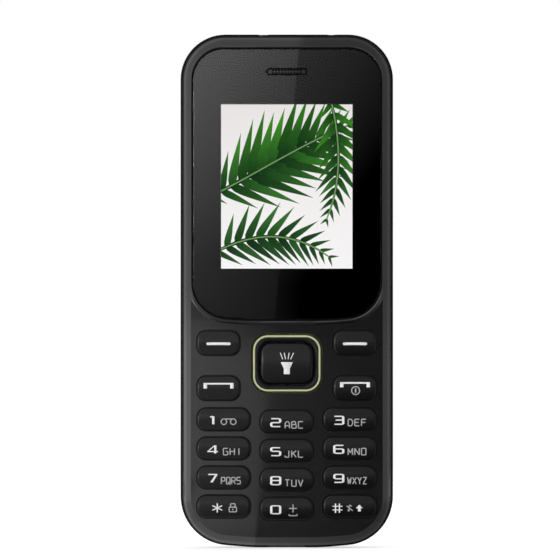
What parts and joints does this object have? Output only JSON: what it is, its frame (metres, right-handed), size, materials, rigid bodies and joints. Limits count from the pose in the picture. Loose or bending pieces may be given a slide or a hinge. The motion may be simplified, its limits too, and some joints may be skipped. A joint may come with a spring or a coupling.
{
  "type": "mobile phone",
  "caption": "Bar-shaped mobile phone with a small display behind a clear window, a four-way pad, a number keypad that presses and a back cover and battery that lift off.",
  "frame": {"origin": "centre of the phone's outline at its lower end", "axes": "+Z along the phone towards the earpiece, -Y out of the front, +X to the right seen from the front"},
  "size_m": [0.0454, 0.0134, 0.1096],
  "materials": {
    "front_black": "satin moulded plastic with a faint gloss",
    "band_black": "fine matt moulded plastic",
    "cover_black": "fine grained matt plastic",
    "window_clear": "clear polished acrylic",
    "mask_black": "black printed film",
    "mesh_grey": "dark pierced plate",
    "foam_black": "soft closed foam",
    "display_glass": "lit display glass",
    "tray_white": "white moulded tray",
    "flex_amber": "amber flexible film",
    "speaker_grey": "pressed steel",
    "silicone_grey": "translucent silicone",
    "silicone_black": "black silicone",
    "film_clear": "thin adhesive film",
    "dome_steel": "bright sprung steel",
    "lamp_yellow": "phosphor under clear resin",
    "board_green": "green solder mask",
    "nav_black": "gloss moulded plastic",
    "key_black": "satin moulded keys with printed legends",
    "trim_lime": "pale yellow-green paint",
    "battery_can": "drawn metal can under a plain grey label",
    "battery_black": "matt plastic cap",
    "socket_black": "black moulded plastic",
    "contact_gold": "gold plated springs",
    "holder_steel": "pressed steel",
    "shield_steel": "tinned steel",
    "usb_steel": "plated steel sleeve",
    "jack_black": "black moulded plastic",
    "motor_steel": "drawn steel can",
    "weight_grey": "sintered heavy metal",
    "microphone_steel": "drawn metal capsule",
    "torch_clear": "clear moulded lens",
    "camera_glass": "dark coated pane",
    "camera_black": "black moulded barrel",
    "antenna_copper": "stamped copper strip",
    "screw_steel": "plated steel"
  },
  "bodies": {
    "phone": {"front_housing": "front_black", "rear_housing": "band_black", "display_window": "window_clear", "window_mask": "mask_black", "earpiece_mesh": "mesh_grey", "display_gasket": "foam_black", "lcd_panel": "display_glass", "lcd_frame": "tray_white", "display_flex": "flex_amber", "earpiece_receiver": "speaker_grey", "keypad_mat": "silicone_grey", "dome_sheet": "film_clear", "snap_domes": "dome_steel", "keypad_leds": "lamp_yellow", "main_board": "board_green", "battery_connector": "socket_black", "battery_contacts": "contact_gold", "sim_holders": "holder_steel", "memory_card_holder": "holder_steel", "shield_can": "shield_steel", "usb_socket_shell": "usb_steel", "usb_tongue": "socket_black", "audio_jack": "jack_black", "loudspeaker": "speaker_grey", "loudspeaker_mesh": "mesh_grey", "vibration_motor": "motor_steel", "microphone": "microphone_steel", "microphone_boot": "silicone_black", "torch_led": "lamp_yellow", "torch_lens": "torch_clear", "camera_module": "camera_black", "camera_window": "camera_glass", "gsm_antenna": "antenna_copper", "housing_screws": "screw_steel"},
    "battery_cover": {"battery_cover": "cover_black"},
    "battery": {"battery_cell": "battery_can", "battery_cap": "battery_black"},
    "motor_weight": {"motor_weight": "weight_grey"},
    "nav_pad": {"nav_pad": "silicone_black"},
    "nav_key": {"nav_key": "nav_black", "nav_trim_ring": "trim_lime"},
    "key_1": {"key_1": "key_black"},
    "key_2": {"key_2": "key_black"},
    "key_3": {"key_3": "key_black"},
    "key_4": {"key_4": "key_black"},
    "key_5": {"key_5": "key_black"},
    "key_6": {"key_6": "key_black"},
    "key_7": {"key_7": "key_black"},
    "key_8": {"key_8": "key_black"},
    "key_9": {"key_9": "key_black"},
    "key_star": {"key_star": "key_black"},
    "key_0": {"key_0": "key_black"},
    "key_hash": {"key_hash": "key_black"},
    "left_soft_key": {"left_soft_key": "key_black"},
    "right_soft_key": {"right_soft_key": "key_black"},
    "call_key": {"call_key": "key_black"},
    "end_key": {"end_key": "key_black"},
    "select_key": {"select_key": "key_black"}
  },
  "joints": [
    {"name": "key_1_press", "type": "slide", "parent": "phone", "child": "key_1", "axis": [0, 1, 0], "range_m": [0, 0.0004], "stiffness_N_per_m": 2500, "springref_m": -0.00015},
    {"name": "key_2_press", "type": "slide", "parent": "phone", "child": "key_2", "axis": [0, 1, 0], "range_m": [0, 0.0004], "stiffness_N_per_m": 2500, "springref_m": -0.00015},
    {"name": "key_3_press", "type": "slide", "parent": "phone", "child": "key_3", "axis": [0, 1, 0], "range_m": [0, 0.0004], "stiffness_N_per_m": 2500, "springref_m": -0.00015},
    {"name": "key_4_press", "type": "slide", "parent": "phone", "child": "key_4", "axis": [0, 1, 0], "range_m": [0, 0.0004], "stiffness_N_per_m": 2500, "springref_m": -0.00015},
    {"name": "key_5_press", "type": "slide", "parent": "phone", "child": "key_5", "axis": [0, 1, 0], "range_m": [0, 0.0004], "stiffness_N_per_m": 2500, "springref_m": -0.00015},
    {"name": "key_6_press", "type": "slide", "parent": "phone", "child": "key_6", "axis": [0, 1, 0], "range_m": [0, 0.0004], "stiffness_N_per_m": 2500, "springref_m": -0.00015},
    {"name": "key_7_press", "type": "slide", "parent": "phone", "child": "key_7", "axis": [0, 1, 0], "range_m": [0, 0.0004], "stiffness_N_per_m": 2500, "springref_m": -0.00015},
    {"name": "key_8_press", "type": "slide", "parent": "phone", "child": "key_8", "axis": [0, 1, 0], "range_m": [0, 0.0004], "stiffness_N_per_m": 2500, "springref_m": -0.00015},
    {"name": "key_9_press", "type": "slide", "parent": "phone", "child": "key_9", "axis": [0, 1, 0], "range_m": [0, 0.0004], "stiffness_N_per_m": 2500, "springref_m": -0.00015},
    {"name": "key_star_press", "type": "slide", "parent": "phone", "child": "key_star", "axis": [0, 1, 0], "range_m": [0, 0.0004], "stiffness_N_per_m": 2500, "springref_m": -0.00015},
    {"name": "key_0_press", "type": "slide", "parent": "phone", "child": "key_0", "axis": [0, 1, 0], "range_m": [0, 0.0004], "stiffness_N_per_m": 2500, "springref_m": -0.00015},
    {"name": "key_hash_press", "type": "slide", "parent": "phone", "child": "key_hash", "axis": [0, 1, 0], "range_m": [0, 0.0004], "stiffness_N_per_m": 2500, "springref_m": -0.00015},
    {"name": "left_soft_key_press", "type": "slide", "parent": "phone", "child": "left_soft_key", "axis": [0, 1, 0], "range_m": [0, 0.0004], "stiffness_N_per_m": 2500, "springref_m": -0.00015},
    {"name": "right_soft_key_press", "type": "slide", "parent": "phone", "child": "right_soft_key", "axis": [0, 1, 0], "range_m": [0, 0.0004], "stiffness_N_per_m": 2500, "springref_m": -0.00015},
    {"name": "call_key_press", "type": "slide", "parent": "phone", "child": "call_key", "axis": [0, 1, 0], "range_m": [0, 0.0004], "stiffness_N_per_m": 2500, "springref_m": -0.00015},
    {"name": "end_key_press", "type": "slide", "parent": "phone", "child": "end_key", "axis": [0, 1, 0], "range_m": [0, 0.0004], "stiffness_N_per_m": 2500, "springref_m": -0.00015},
    {"name": "select_key_press", "type": "slide", "parent": "phone", "child": "select_key", "axis": [0, 1, 0], "range_m": [0, 0.0004], "stiffness_N_per_m": 2500, "springref_m": -0.00015},
    {"name": "nav_tilt_sideways", "type": "hinge", "parent": "phone", "child": "nav_pad", "pos_m": [0, -0.00436, 0.03935], "axis": [0, 0, 1], "range_deg": [-1.8, 1.8], "stiffness_Nm_per_rad": 0.3},
    {"name": "nav_tilt_lengthways", "type": "hinge", "parent": "nav_pad", "child": "nav_key", "pos_m": [0, -0.00436, 0.03935], "axis": [1, 0, 0], "range_deg": [-1.8, 1.8], "stiffness_Nm_per_rad": 0.3},
    {"name": "battery_cover_lift", "type": "slide", "parent": "phone", "child": "battery_cover", "axis": [0, 1, 0], "range_m": [0, 0.036]},
    {"name": "battery_lift", "type": "slide", "parent": "phone", "child": "battery", "axis": [0, 1, 0], "range_m": [0, 0.018]},
    {"name": "motor_spin", "type": "hinge", "parent": "phone", "child": "motor_weight", "pos_m": [0.012, 0.00056, 0.0845], "axis": [1, 0, 0], "continuous": true}
  ],
  "couplings": [
    {"joint": "battery_lift", "follows": "battery_cover_lift", "ratio": 0.5}
  ]
}
